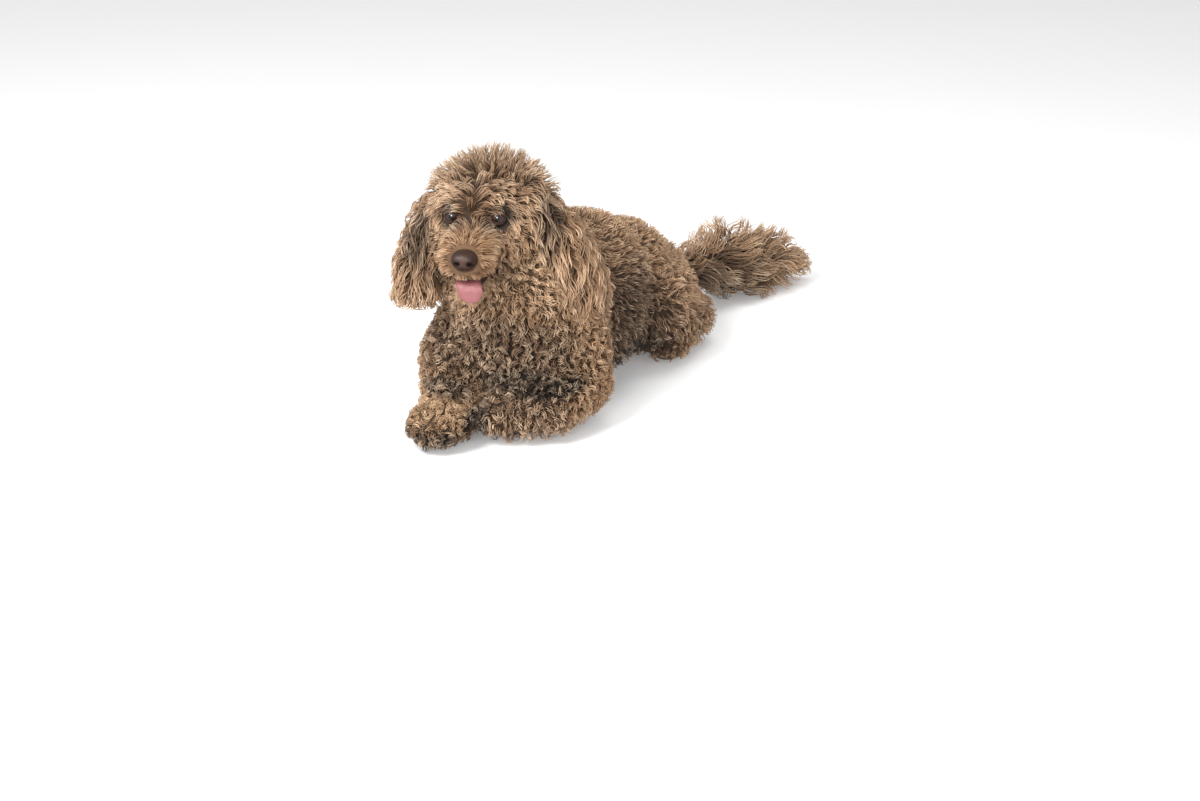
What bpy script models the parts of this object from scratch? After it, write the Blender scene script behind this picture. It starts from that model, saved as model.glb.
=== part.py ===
# A brown poodle lying with its head up, one forearm folded across its chest. Metres, +Z up.
# It faces -Y, its left side is +X, and it rests on z = 0. The surface is the outside of its coat.
# Until the last step, places are measured from a point on the floor 9 cm behind the front toes.
import math

import bmesh
import bpy
from mathutils import Matrix, Vector

# Driving dimensions
GAP = 0.0004  # between neighbouring parts
BODY_VOXEL = 0.0045
BODY_TRIANGLES = 3200
EAR_VOXEL = 0.004
EAR_TRIANGLES = 300
TONGUE_VOXEL = 0.0015
TONGUE_TRIANGLES = 200
SMOOTH_ROUNDS = 12
FAR = 0.6  # the side of a block that holds everything beyond a plane
FLOOR_SIDE = 1.4

HEAD_TURN = math.radians(20)  # to the dog's left
EYES = Vector((-0.015, 0.1425, 0.2555))  # midway between the eyes
EYE_RADIUS = 0.0098
EYE_SPACING = 0.051
EYE_FORWARD = -0.006
HOLLOW_RADIUS = 0.0150  # of the dip in the coat that shows an eye
HOLLOW_SPACING = 0.060
HOLLOW_FORWARD = 0.010
NOSE_REACH = 0.077  # from between the eyes to the tip of the nose
NOSE_DROP = 0.0305
NOSE_SIZE = (0.0125, 0.0150, 0.0120)  # half depth, width and height
NOSTRIL_SIZE = (0.004, 0.0024, 0.0028)
NOSTRIL_SPACING = 0.0124
MOUTH_CORNER = Vector((0.006, 0.0, -0.054))  # forward, left and up from between the eyes
MOUTH_OPENING = math.radians(15)
MOUTH_DEPTH = 0.002  # at its corner
MOUTH_LENGTH = 0.12
MOUTH_WIDTH = 0.10
TONGUE_STRETCH = 3.0  # how much wider the tongue is than it is thick
EAR_STRETCH = 1.35  # how much deeper an ear is than it is thick

# The trunk's ellipsoids: middle, then half width, length and height
TRUNK = {
    "ribs": ((0, 0.350, 0.106), (0.086, 0.135, 0.112)),
    "chest": ((-0.005, 0.240, 0.112), (0.091, 0.088, 0.114)),
    "bib": ((-0.002, 0.195, 0.155), (0.072, 0.052, 0.052)),
    "withers": ((0, 0.305, 0.150), (0.062, 0.085, 0.068)),
    "loin": ((0, 0.452, 0.088), (0.075, 0.125, 0.094)),
    "croup": ((0, 0.542, 0.066), (0.062, 0.082, 0.073)),
}

# Chains of (place, radius) for the neck, limbs and tail. HINDLEG is the left one.
NECK = (((0, 0.275, 0.165), 0.074), ((-0.022, 0.215, 0.228), 0.068))
FORELEG_LEFT = (
    ((0.041, 0.262, 0.118), 0.049),
    ((0.067, 0.231, 0.052), 0.046),
    ((0.062, 0.172, 0.038), 0.040),
    ((0.025, 0.140, 0.032), 0.034),
)
FORELEG_RIGHT = (
    ((-0.050, 0.240, 0.120), 0.054),
    ((-0.064, 0.200, 0.070), 0.052),
    ((-0.044, 0.142, 0.036), 0.039),
)
PAW_RIGHT = ((-0.0295, 0.090, 0.026), (0.040, 0.046, 0.030))
HINDLEG = (
    ((0.036, 0.530, 0.078), 0.045),
    ((0.060, 0.456, 0.074), 0.046),
    ((0.061, 0.566, 0.035), 0.033),
    ((0.070, 0.472, 0.026), 0.030),
)
TAIL = (
    ((0.004, 0.600, 0.082), 0.025),
    ((0.012, 0.680, 0.064), 0.036),
    ((0.026, 0.760, 0.048), 0.052),
    ((0.055, 0.835, 0.034), 0.038),
    ((0.074, 0.868, 0.022), 0.021),
)

# On the head, places are forward, left and up from between the eyes
HEAD = {
    "topknot": ((-0.068, 0.009, -0.012), (0.076, 0.081, 0.074)),
    "brow": ((-0.020, 0.000, 0.016), (0.028, 0.050, 0.030)),
    "cheeks": ((-0.032, 0.000, -0.038), (0.044, 0.056, 0.038)),
    "stop": ((0.004, 0.000, -0.023), (0.034, 0.036, 0.023)),
    "bridge": ((0.034, 0.000, -0.029), (0.034, 0.032, 0.022)),
    "lips": ((0.054, 0.000, -0.035), (0.021, 0.034, 0.019)),
}
JAW = (((-0.020, 0, -0.068), 0.024), ((0.036, 0, -0.072), 0.0165))
EAR_LEFT = (
    ((-0.058, 0.062, 0.004), 0.026),
    ((-0.072, 0.090, -0.045), 0.034),
    ((-0.086, 0.102, -0.096), 0.041),
)
EAR_RIGHT = (
    ((-0.055, -0.056, -0.006), 0.024),
    ((-0.048, -0.073, -0.050), 0.026),
    ((-0.045, -0.073, -0.096), 0.029),
)
TONGUE = (
    ((0.005, 0.000, -0.0590), 0.0032),
    ((0.047, 0.001, -0.0570), 0.0036),
    ((0.0590, 0.0025, -0.0620), 0.0040),
    ((0.0605, 0.0030, -0.0755), 0.0040),
    ((0.0610, 0.0030, -0.0790), 0.0028),
)

# Where the whole body is parted. A box is its lowest and highest corner.
PAW_RIGHT_BOX = ((-0.10, 0.02, -0.02), (0.04, 0.122, 0.085))
PAWS_MEET = ((0.0003, 0.117, 0), (-0.737, -0.676, 0))  # a point, and the way to the right paw
FOREARM_RIGHT_BOX = ((-0.14, 0.10, -0.02), (-0.014, 0.156, 0.088))
UPPER_ARM_RIGHT_BOX = ((-0.14, 0.10, -0.02), (-0.060, 0.310, 0.150))
PAW_LEFT_BOX = ((-0.04, 0.08, -0.02), (0.040, 0.166, 0.072))
FOREARM_LEFT_BOX = ((0.039, 0.08, -0.02), (0.16, 0.166, 0.075))
UPPER_ARM_LEFT_BOX = ((0.054, 0.08, -0.02), (0.16, 0.316, 0.165))
HINDPAW_BOX = ((0.038, 0.40, -0.02), (0.16, 0.515, 0.048))
HINDLEG_BOX = ((0.042, 0.39, -0.02), (0.16, 0.63, 0.150))
TAIL_ROOT = ((0.006, 0.630, 0.075), (0.06, 0.98, -0.15))
NAPE = ((-0.0175, 0.239, 0.211), (-0.274, -0.643, 0.715))
NECK_BASE = ((-0.004, 0.271, 0.175), (-0.12, -0.45, 0.88))

FINISHES = {
    "coat": ((0.24, 0.15, 0.09), 0.9),
    "nose": ((0.10, 0.05, 0.035), 0.45),
    "tongue": ((0.50, 0.19, 0.19), 0.4),
    "eye": ((0.03, 0.015, 0.01), 0.08),
}


def clear_scene():
    for obj in list(bpy.data.objects):
        bpy.data.objects.remove(obj, do_unlink=True)


def material(name):
    colour, roughness = FINISHES[name]
    made = bpy.data.materials.get(name) or bpy.data.materials.new(name)
    made.use_nodes = True
    shader = made.node_tree.nodes["Principled BSDF"]
    shader.inputs["Base Color"].default_value = (*colour, 1)
    shader.inputs["Roughness"].default_value = roughness
    return made


# Objects and meshes


def link(name, mesh):
    obj = bpy.data.objects.new(name, mesh)
    bpy.context.scene.collection.objects.link(obj)
    return obj


def from_bmesh(name, shape):
    bmesh.ops.recalc_face_normals(shape, faces=shape.faces)
    mesh = bpy.data.meshes.new(name)
    shape.to_mesh(mesh)
    shape.free()
    return link(name, mesh)


def copy_of(obj):
    return link(obj.name, obj.data.copy())


def evaluated(obj, name=None):
    """Replaces an object by its mesh with every modifier applied."""
    bpy.context.view_layer.update()
    graph = bpy.context.evaluated_depsgraph_get()
    mesh = bpy.data.meshes.new_from_object(obj.evaluated_get(graph))
    name = name or obj.name
    bpy.data.objects.remove(obj, do_unlink=True)
    return link(name, mesh)


def combine(obj, other, operation, name=None):
    """A Boolean of two objects, which uses up the second."""
    cut = obj.modifiers.new("Cut", "BOOLEAN")
    cut.operation = operation
    cut.solver = "EXACT"
    cut.object = other
    made = evaluated(obj, name)
    bpy.data.objects.remove(other, do_unlink=True)
    return made


def skinned(obj, voxel, triangles):
    """One smooth closed surface round everything in a mesh."""
    remesh = obj.modifiers.new("Remesh", "REMESH")
    remesh.mode = "VOXEL"
    remesh.voxel_size = voxel
    smooth = obj.modifiers.new("Smooth", "SMOOTH")
    smooth.factor = 0.5
    smooth.iterations = SMOOTH_ROUNDS
    obj.modifiers.new("Triangles", "TRIANGULATE")
    obj = evaluated(obj)
    thin = obj.modifiers.new("Decimate", "DECIMATE")
    thin.ratio = triangles / len(obj.data.polygons)
    return evaluated(obj)


def grown(obj, amount):
    """A copy moved out along its normals."""
    copy = copy_of(obj)
    swell = copy.modifiers.new("Displace", "DISPLACE")
    swell.strength = amount
    swell.mid_level = 0
    return evaluated(copy)


# Shapes


def ball(shape, middle, radii, axes=Matrix(), fineness=4):
    """Adds an ellipsoid to a bmesh."""
    place = Matrix.Translation(middle) @ axes @ Matrix.Diagonal((*radii, 1))
    bmesh.ops.create_icosphere(shape, subdivisions=fineness, radius=1, matrix=place)


def round_cone(shape, start, start_radius, end, end_radius, fineness):
    """Adds the hull of two balls to a bmesh."""
    hull = bmesh.new()
    ball(hull, start, [start_radius] * 3, fineness=fineness)
    ball(hull, end, [end_radius] * 3, fineness=fineness)
    made = bmesh.ops.convex_hull(hull, input=hull.verts)
    inside = [v for v in made["geom_interior"] if isinstance(v, bmesh.types.BMVert)]
    bmesh.ops.delete(hull, geom=inside, context="VERTS")
    loose = [face for face in hull.faces if face not in made["geom"]]
    bmesh.ops.delete(hull, geom=loose, context="FACES")
    mesh = bpy.data.meshes.new("hull")
    hull.to_mesh(mesh)
    hull.free()
    shape.from_mesh(mesh)
    bpy.data.meshes.remove(mesh)


def chain(shape, stations, place=Vector, fineness=3):
    """Adds round cones from each station to the next."""
    for (start, start_radius), (end, end_radius) in zip(stations, stations[1:]):
        round_cone(shape, place(start), start_radius, place(end), end_radius, fineness)


def block(point, normal, grow=0.0, side=FAR):
    """A cube that holds everything beyond a plane, the way its normal points."""
    normal = Vector(normal).normalized()
    turn = normal.to_track_quat("Z", "Y").to_matrix().to_4x4()
    middle = Vector(point) + normal * (side / 2 - grow)
    shape = bmesh.new()
    bmesh.ops.create_cube(shape, size=side, matrix=Matrix.Translation(middle) @ turn)
    return from_bmesh("block", shape)


def crate(low, high, grow=0.0):
    """A box between two corners."""
    low = Vector(low) - Vector([grow] * 3)
    high = Vector(high) + Vector([grow] * 3)
    place = Matrix.Translation((low + high) / 2) @ Matrix.Diagonal((*(high - low), 1))
    shape = bmesh.new()
    bmesh.ops.create_cube(shape, size=1, matrix=place)
    return from_bmesh("crate", shape)


def mirrored(stations):
    return tuple(((-x, y, z), radius) for (x, y, z), radius in stations)


def flipped(box):
    """The same box on the other side."""
    (x1, y1, z1), (x2, y2, z2) = box
    return (-x2, y1, z1), (-x1, y2, z2)


# The whole body and what hangs from the head


def head_axes():
    """Turns +X to the head's forward and +Y to its left."""
    return Matrix.Rotation(HEAD_TURN - math.pi / 2, 4, "Z")


def on_head(place):
    return EYES + head_axes() @ Vector(place)


def whole_body():
    shape = bmesh.new()
    for middle, radii in TRUNK.values():
        ball(shape, middle, radii)
    for middle, radii in HEAD.values():
        ball(shape, on_head(middle), radii, head_axes())
    for stations in (NECK, FORELEG_LEFT, FORELEG_RIGHT, HINDLEG, mirrored(HINDLEG), TAIL):
        chain(shape, stations)
    ball(shape, *PAW_RIGHT)
    body = skinned(from_bmesh("trunk", shape), BODY_VOXEL, BODY_TRIANGLES)
    under_floor = block((0, 0.4, 0), (0, 0, -1), side=FLOOR_SIDE)
    return combine(body, under_floor, "DIFFERENCE")


def stretched(name, stations, stretch, about, voxel, triangles):
    """A chain on the head, made wider or deeper about a middle point."""
    shape = bmesh.new()
    chain(shape, stations)
    about = Vector(about)
    widen = Matrix.Translation(about) @ Matrix.Diagonal((*stretch, 1)) @ Matrix.Translation(-about)
    place = Matrix.Translation(EYES) @ head_axes()
    bmesh.ops.transform(shape, matrix=place @ widen, verts=shape.verts)
    return skinned(from_bmesh(name, shape), voxel, triangles)


def ear(name, stations):
    middle = stations[1][0]
    return stretched(name, stations, (EAR_STRETCH, 1, 1), middle, EAR_VOXEL, EAR_TRIANGLES)


def tongue():
    root = TONGUE[0][0]
    stretch = (1, TONGUE_STRETCH, 1)
    return stretched("tongue", TONGUE, stretch, root, TONGUE_VOXEL, TONGUE_TRIANGLES)


# The face


def egg(name, place, radii, grow=0.0, fineness=2):
    """An ellipsoid placed on the head."""
    shape = bmesh.new()
    ball(shape, on_head(place), [radius + grow for radius in radii], head_axes(), fineness)
    return from_bmesh(name, shape)


def jaw_shape(grow=0.0):
    shape = bmesh.new()
    chain(shape, [(place, radius + grow) for place, radius in JAW], on_head, fineness=2)
    return from_bmesh("jaw", shape)


def mouth_wedge(grow=0.0):
    """The open mouth, a wedge that widens from its corner forward."""
    drop = math.tan(MOUTH_OPENING) * MOUTH_LENGTH
    outline = (
        (-grow, grow),
        (MOUTH_LENGTH, grow),
        (MOUTH_LENGTH, -drop - grow),
        (-grow, -MOUTH_DEPTH - grow),
    )
    shape = bmesh.new()
    sides = []
    for left in (-MOUTH_WIDTH / 2, MOUTH_WIDTH / 2):
        places = [MOUTH_CORNER + Vector((forward, left, up)) for forward, up in outline]
        sides.append([shape.verts.new(on_head(place)) for place in places])
    right, left = sides
    shape.faces.new(right)
    shape.faces.new(reversed(left))
    for i in range(4):
        j = (i + 1) % 4
        shape.faces.new((right[i], left[i], left[j], right[j]))
    return from_bmesh("mouth", shape)


def nose(grow=0.0):
    place = (NOSE_REACH - NOSE_SIZE[0], 0, -NOSE_DROP)
    return egg("nose", place, NOSE_SIZE, grow)


def nose_with_nostrils():
    made = nose()
    for side in (1, -1):
        place = (NOSE_REACH - 0.001, side * NOSTRIL_SPACING / 2, -NOSE_DROP - 0.001)
        nostril = egg("nostril", place, NOSTRIL_SIZE, fineness=1)
        made = combine(made, nostril, "DIFFERENCE")
    return made


def eye(name, side, grow=0.0):
    place = (EYE_FORWARD, side * EYE_SPACING / 2, 0)
    return egg(name, place, [EYE_RADIUS] * 3, grow)


def eye_hollow(side):
    place = (HOLLOW_FORWARD, side * HOLLOW_SPACING / 2, 0)
    return egg("hollow", place, [HOLLOW_RADIUS] * 3)


def face_parts(head):
    """Cuts the mouth, jaw, nose and eyes into the head, and returns them all."""
    jaw = combine(jaw_shape(), mouth_wedge(GAP), "DIFFERENCE")
    for cutter in (mouth_wedge(), jaw_shape(GAP), nose(GAP), eye_hollow(1), eye_hollow(-1)):
        head = combine(head, cutter, "DIFFERENCE")
    eyes = []
    for name, side in (("eye_left", 1), ("eye_right", -1)):
        head = combine(head, eye(name, side, GAP), "DIFFERENCE")
        eyes.append(eye(name, side))
    tongue_part = tongue()
    head = combine(head, grown(tongue_part, GAP), "DIFFERENCE")
    jaw = combine(jaw, grown(tongue_part, GAP), "DIFFERENCE")
    return [head, jaw, tongue_part, nose_with_nostrils(), *eyes]


# Parting


def boxes(*corners):
    """A region made of several boxes."""

    def region(grow):
        made = crate(*corners[0], grow)
        for low, high in corners[1:]:
            made = combine(made, crate(low, high, grow), "UNION")
        return made

    return region


def beyond(plane):
    return lambda grow: block(*plane, grow)


def right_paw_region(grow):
    return combine(crate(*PAW_RIGHT_BOX, grow), block(*PAWS_MEET, grow), "INTERSECT")


# In the order they are parted off. What is left is the trunk.
REGIONS = {
    "forepaw_right": right_paw_region,
    "foreleg_right": boxes(FOREARM_RIGHT_BOX, UPPER_ARM_RIGHT_BOX),
    "forepaw_left": boxes(PAW_LEFT_BOX),
    "foreleg_left": boxes(FOREARM_LEFT_BOX, UPPER_ARM_LEFT_BOX),
    "hindpaw_left": boxes(HINDPAW_BOX),
    "hindpaw_right": boxes(flipped(HINDPAW_BOX)),
    "hindleg_left": boxes(HINDLEG_BOX),
    "hindleg_right": boxes(flipped(HINDLEG_BOX)),
    "tail": beyond(TAIL_ROOT),
    "head": beyond(NAPE),
    "neck": beyond(NECK_BASE),
}


def part_off(rest, name, region):
    """Splits a body into what lies in the region and what is left, a gap apart."""
    part = combine(copy_of(rest), region(0.0), "INTERSECT", name)
    rest = combine(rest, region(GAP), "DIFFERENCE")
    return part, rest


def finish(node):
    kind = node.name.split("_")[0]
    kind = kind if kind in FINISHES else "coat"
    node.data.materials.clear()
    node.data.materials.append(material(kind))
    node.data.shade_smooth()
    node.data.set_sharp_from_angle(angle=math.radians(40))


def centre(nodes):
    """Puts the origin in the middle of the footprint, on the floor."""
    places = [vertex.co for node in nodes for vertex in node.data.vertices]
    low = Vector([min(place[axis] for place in places) for axis in range(3)])
    high = Vector([max(place[axis] for place in places) for axis in range(3)])
    move = Vector((-(low.x + high.x) / 2, -(low.y + high.y) / 2, -low.z))
    for node in nodes:
        node.data.transform(Matrix.Translation(move))
    return move


def build():
    clear_scene()
    nodes = [ear("ear_left", EAR_LEFT), ear("ear_right", EAR_RIGHT)]
    rest = whole_body()
    for flap in nodes:
        rest = combine(rest, grown(flap, GAP), "DIFFERENCE")
    for name, region in REGIONS.items():
        part, rest = part_off(rest, name, region)
        nodes += face_parts(part) if name == "head" else [part]
    rest.name = "trunk"
    nodes.append(rest)
    for node in nodes:
        finish(node)
    return nodes, centre(nodes)


parts, offset = build()
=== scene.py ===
# A poodle lying on its chest: skin, a coat of swept locks, eyes, nose, tongue and lips, in a plain studio.
import math

import bmesh
import bpy
import numpy as np
from mathutils import Matrix, Vector
from mathutils.bvhtree import BVHTree
from mathutils.kdtree import KDTree


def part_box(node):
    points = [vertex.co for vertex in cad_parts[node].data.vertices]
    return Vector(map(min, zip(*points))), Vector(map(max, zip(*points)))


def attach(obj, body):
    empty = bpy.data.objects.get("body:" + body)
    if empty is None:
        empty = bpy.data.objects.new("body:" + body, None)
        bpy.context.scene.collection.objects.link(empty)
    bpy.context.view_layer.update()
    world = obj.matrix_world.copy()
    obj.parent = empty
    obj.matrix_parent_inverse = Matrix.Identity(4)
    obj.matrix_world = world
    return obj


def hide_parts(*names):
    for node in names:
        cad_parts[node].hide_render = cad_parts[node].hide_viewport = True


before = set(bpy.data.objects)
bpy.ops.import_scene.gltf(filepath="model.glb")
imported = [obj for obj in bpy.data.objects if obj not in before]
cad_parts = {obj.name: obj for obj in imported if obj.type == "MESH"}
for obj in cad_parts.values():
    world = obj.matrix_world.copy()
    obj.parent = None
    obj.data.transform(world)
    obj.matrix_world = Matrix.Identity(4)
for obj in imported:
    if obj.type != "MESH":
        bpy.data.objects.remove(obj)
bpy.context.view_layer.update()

scene = bpy.context.scene
for leftover in ("Cube", "Camera", "Light"):  # what a new file starts with
    if leftover in bpy.data.objects:
        bpy.data.objects.remove(bpy.data.objects[leftover])
body = "root"
apart = ("eye_left", "eye_right", "nose", "tongue")  # nodes that are not flesh under the coat
flesh = [name for name in sorted(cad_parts) if name not in apart]
up = np.array((0.0, 0.0, 1.0))


def unit(vectors):
    return vectors / np.maximum(np.linalg.norm(vectors, axis=-1, keepdims=True), 1e-9)


def smoothStep(value, low, high):
    t = np.clip((value - low) / (high - low), 0.0, 1.0)
    return t * t * (3.0 - 2.0 * t)


def boxOf(node):
    low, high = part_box(node)
    return np.array(low), np.array(high)


def middleOf(node):
    low, high = boxOf(node)
    return (low + high) / 2.0


def linear(red, green, blue):
    out = []
    for value in (red / 255.0, green / 255.0, blue / 255.0):
        out.append(value / 12.92 if value <= 0.04045 else ((value + 0.055) / 1.055) ** 2.4)
    return (*out, 1.0)


def newObject(name, mesh):
    made = bpy.data.objects.new(name, mesh)
    scene.collection.objects.link(made)
    return made


def meshOf(name, points, faces):
    mesh = bpy.data.meshes.new(name)
    mesh.from_pydata([tuple(p) for p in points], [], [tuple(f) for f in faces])
    mesh.update()
    return mesh


def evaluatedMesh(owner):
    graph = bpy.context.evaluated_depsgraph_get()
    return bpy.data.meshes.new_from_object(owner.evaluated_get(graph))


def readAll(items, field, width=1, kind=float):
    values = np.empty(len(items) * width, kind)
    items.foreach_get(field, values)
    return values.reshape(-1, width) if width > 1 else values


def pointsOf(mesh):
    return readAll(mesh.vertices, "co", 3)


def trianglesOf(mesh):
    mesh.calc_loop_triangles()
    return readAll(mesh.loop_triangles, "vertices", 3, np.int64)


def edgesOf(mesh):
    return readAll(mesh.edges, "vertices", 2, np.int64)


def normalsOf(points, triangles):
    a, b, c = (points[triangles[:, k]] for k in range(3))
    across = np.cross(b - a, c - a)
    total = np.zeros_like(points)
    for corner in range(3):
        for axis in range(3):
            total[:, axis] += np.bincount(triangles[:, corner], across[:, axis], len(points))
    return unit(total)


def relaxed(values, edges, rounds, share=0.5):
    values = values.astype(float)
    flat = values.reshape(len(values), -1)
    count = np.maximum(np.bincount(edges.ravel(), minlength=len(flat)), 1)[:, None]
    for _ in range(rounds):
        total = np.zeros_like(flat)
        for axis in range(flat.shape[1]):
            total[:, axis] += np.bincount(edges[:, 0], flat[edges[:, 1], axis], len(flat))
            total[:, axis] += np.bincount(edges[:, 1], flat[edges[:, 0], axis], len(flat))
        flat = flat + share * (total / count - flat)
    return flat.reshape(values.shape)


def attribute(mesh, name, values, kind="FLOAT"):
    made = mesh.attributes.get(name) or mesh.attributes.new(name, kind, "POINT")
    field = {"FLOAT": "value", "FLOAT2": "vector"}[kind]
    made.data.foreach_set(field, np.ascontiguousarray(values, np.float32).ravel())


def readAttribute(mesh, name, width):
    return readAll(mesh.attributes[name].data, "value" if width == 1 else "vector", width)


def finishPiece(piece, material):
    piece.data.materials.clear()
    piece.data.materials.append(material)
    piece.data.polygons.foreach_set("use_smooth", [True] * len(piece.data.polygons))
    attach(piece, body)


# the head's own directions, from the eyes
eyeCentres = {"left": middleOf("eye_left"), "right": middleOf("eye_right")}
eyeSize = (boxOf("eye_left")[1] - boxOf("eye_left")[0])[2] / 2.0
headLeft = unit(eyeCentres["left"] - eyeCentres["right"])
headForward = unit(np.cross(headLeft, up))
headAxes = np.stack((headForward, headLeft, up))
eyesBack = 0.006  # the eyes' centres lie this far behind the head's zero point
headZero = (eyeCentres["left"] + eyeCentres["right"]) / 2.0 + headForward * eyesBack
noseMiddle = middleOf("nose")


def onHead(forward, left, above):
    return headZero + forward * headForward + left * headLeft + above * up


def inHead(points):
    return (points - headZero) @ headAxes.T


mouthShape = {  # on the head, in metres; opening: the jaw's angle in degrees; lips: where the bare skin fades out
    "corner": 0.006, "height": -0.054, "opening": 15.0, "fullWidth": 0.018, "halfWidth": 0.024,
    "lips": (0.002, 0.006), "behind": 0.008,
}


def mouthShare(points):
    # 1 between the jaws, falling to 0 just outside the lips
    shape = mouthShape
    inner, outer = shape["lips"]
    forward, left, above = (inHead(points) - (shape["corner"], 0.0, shape["height"])).T
    lower = -np.tan(math.radians(shape["opening"])) * np.maximum(forward, 0.0)
    between = smoothStep(above, lower - outer, lower - inner) * (1.0 - smoothStep(above, inner, outer))
    sides = 1.0 - smoothStep(np.abs(left), shape["fullWidth"], shape["halfWidth"])
    return between * smoothStep(forward, -shape["behind"], 0.0) * sides


class Wire:
    # wraps one output socket, so that shader maths reads as plain expressions
    def __init__(self, tree, socket=None):
        self.tree, self.socket = tree, socket

    def node(self, kind, settings=None, values=None, output=0):
        made = self.tree.nodes.new(kind)
        for name, value in (settings or {}).items():
            if name == "stops":
                for element, (place, colour) in zip(self.stops(made, len(value)), value):
                    element.position, element.color = place, colour
            else:
                setattr(made, name, value)
        for name, value in (values or {}).items():
            socket = made.inputs[name]
            if isinstance(value, Wire):
                self.tree.links.new(value.socket, socket)
            else:
                socket.default_value = value
        return Wire(self.tree, made.outputs[output])

    def stops(self, ramp, count):
        elements = ramp.color_ramp.elements
        while len(elements) < count:
            elements.new(0.5)
        return elements

    def maths(self, operation, *values):
        return self.node("ShaderNodeMath", {"operation": operation}, dict(enumerate(values)))

    def __add__(self, other):
        return self.maths("ADD", self, other)

    __radd__ = __add__

    def __sub__(self, other):
        return self.maths("SUBTRACT", self, other)

    def __rsub__(self, other):
        return self.maths("SUBTRACT", other, self)

    def __mul__(self, other):
        return self.maths("MULTIPLY", self, other)

    __rmul__ = __mul__

    def __pow__(self, other):
        return self.maths("POWER", self, other)

    def scaled(self, amount):
        return self.node("ShaderNodeVectorMath", {"operation": "SCALE"}, {"Vector": self, "Scale": amount})

    def mixed(self, other, share):
        return self.node("ShaderNodeMix", {"data_type": "RGBA"}, {0: share, 6: self, 7: other}, output=2)

    def between(self, first, second):  # a colour, from the first to the second as this value goes from 0 to 1
        return self.node("ShaderNodeMix", {"data_type": "RGBA"}, {0: self, 6: first, 7: second}, output=2)

    def place(self):
        return self.node("ShaderNodeTexCoord", output="Object")

    def attribute(self, name):
        return self.node("ShaderNodeAttribute", {"attribute_name": name}, output="Fac")

    def vectorMaths(self, operation, first, second, output=0):
        return self.node("ShaderNodeVectorMath", {"operation": operation}, {0: first, 1: second}, output=output)

    def ranged(self, fromLow, fromHigh, toLow=0.0, toHigh=1.0):
        limits = {"From Min": fromLow, "From Max": fromHigh, "To Min": toLow, "To Max": toHigh}
        return self.node("ShaderNodeMapRange", {"interpolation_type": "SMOOTHSTEP"}, {"Value": self, **limits})

    def noise(self, vector, scale, detail):
        return self.node("ShaderNodeTexNoise", None, {"Vector": vector, "Scale": scale, "Detail": detail})


def newFinish(name):
    material = bpy.data.materials.new(name)
    material.use_nodes = True
    material.node_tree.nodes.clear()
    return material, Wire(material.node_tree)


def closeFinish(wire, values, bump=None):
    # a Principled surface; bump is its (height, distance, strength)
    if bump is not None:
        shape = dict(zip(("Height", "Distance", "Strength"), bump))
        values = {**values, "Normal": wire.node("ShaderNodeBump", None, shape)}
    surface = wire.node("ShaderNodeBsdfPrincipled", None, values)
    out = wire.tree.nodes.new("ShaderNodeOutputMaterial")
    wire.tree.links.new(surface.socket, out.inputs["Surface"])


def geometryTree(name, inputs):
    # the new tree's first wire, and the wires of its named inputs
    tree = bpy.data.node_groups.new(name, "GeometryNodeTree")
    tree.interface.new_socket("Geometry", in_out="OUTPUT", socket_type="NodeSocketGeometry")
    tree.interface.new_socket("Geometry", in_out="INPUT", socket_type="NodeSocketGeometry")
    for label, (kind, value) in inputs.items():
        socket = tree.interface.new_socket(label, in_out="INPUT", socket_type=kind)
        if value is not None:
            socket.default_value = value
    given = tree.nodes.new("NodeGroupInput")
    return Wire(tree), {socket.name: Wire(tree, socket) for socket in given.outputs}


def closeTree(wire):
    out = wire.tree.nodes.new("NodeGroupOutput")
    wire.tree.links.new(wire.socket, out.inputs["Geometry"])
    return wire.tree


def runTree(owner, tree, values):
    modifier = owner.modifiers.new(tree.name, "NODES")
    modifier.node_group = tree
    for item in tree.interface.items_tree:
        if item.in_out == "INPUT" and item.name in values:
            modifier[item.identifier] = values[item.name]
    made = evaluatedMesh(owner)
    bpy.data.objects.remove(owner)
    return made


skinMake = {
    "seal": 0.0012,  # pushes the parts into each other, so that their gaps close
    "voxel": 0.004,
    "fineVoxel": 0.0032,
    "shrinkSteps": 10,
    "shrinkEase": 0.35,  # smoothing after each step
    "tailCore": 0.010,  # the tail's own radius under its plume
    "tailLeast": 0.004,
    "thinnest": 0.25,  # share of the coat's depth beside the eyes and the nose
    "thinByEye": (0.014, 0.030),  # from the eye's middle: thinnest, full
    "thinByNose": (0.017, 0.028),
    "thinAtMouth": 0.9,
    "depthRounds": 10,  # rounds of smoothing
    "pointRounds": 3,
    "roomRounds": 4,
    "regionRounds": 9,
    "unwrapAngle": 66.0,
    "islandMargin": 0.002,
}
coatDepth = {  # how far the skin lies inside the outline
    "topknot": 0.022, "brow": 0.012, "muzzle": 0.0065, "cheek": 0.010, "chin": 0.006,
    "ear": 0.015, "neck": 0.013, "chest": 0.011, "back": 0.011, "flank": 0.011,
    "foreleg": 0.0095, "forepaw": 0.007, "hindleg": 0.010, "hindpaw": 0.0065, "tail": 0.020,
}
regionNames = list(coatDepth)
regionEdges = {  # slopes are the upward part of a normal; the rest are metres, on the head from its zero point
    "backSlope": 0.15, "backFrom": -0.22, "chestTo": -0.185, "chestSlope": 0.75,
    "crownFrom": 0.026, "napeTo": -0.030, "napeFrom": -0.025,
    "browFrom": -0.008, "browTo": 0.034, "browBack": -0.036, "browHalf": 0.046,
    "muzzleFrom": 0.008, "muzzleTo": -0.004,
}
tailSlices = {"count": 9, "overlap": 0.006, "step": 0.02}


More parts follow.
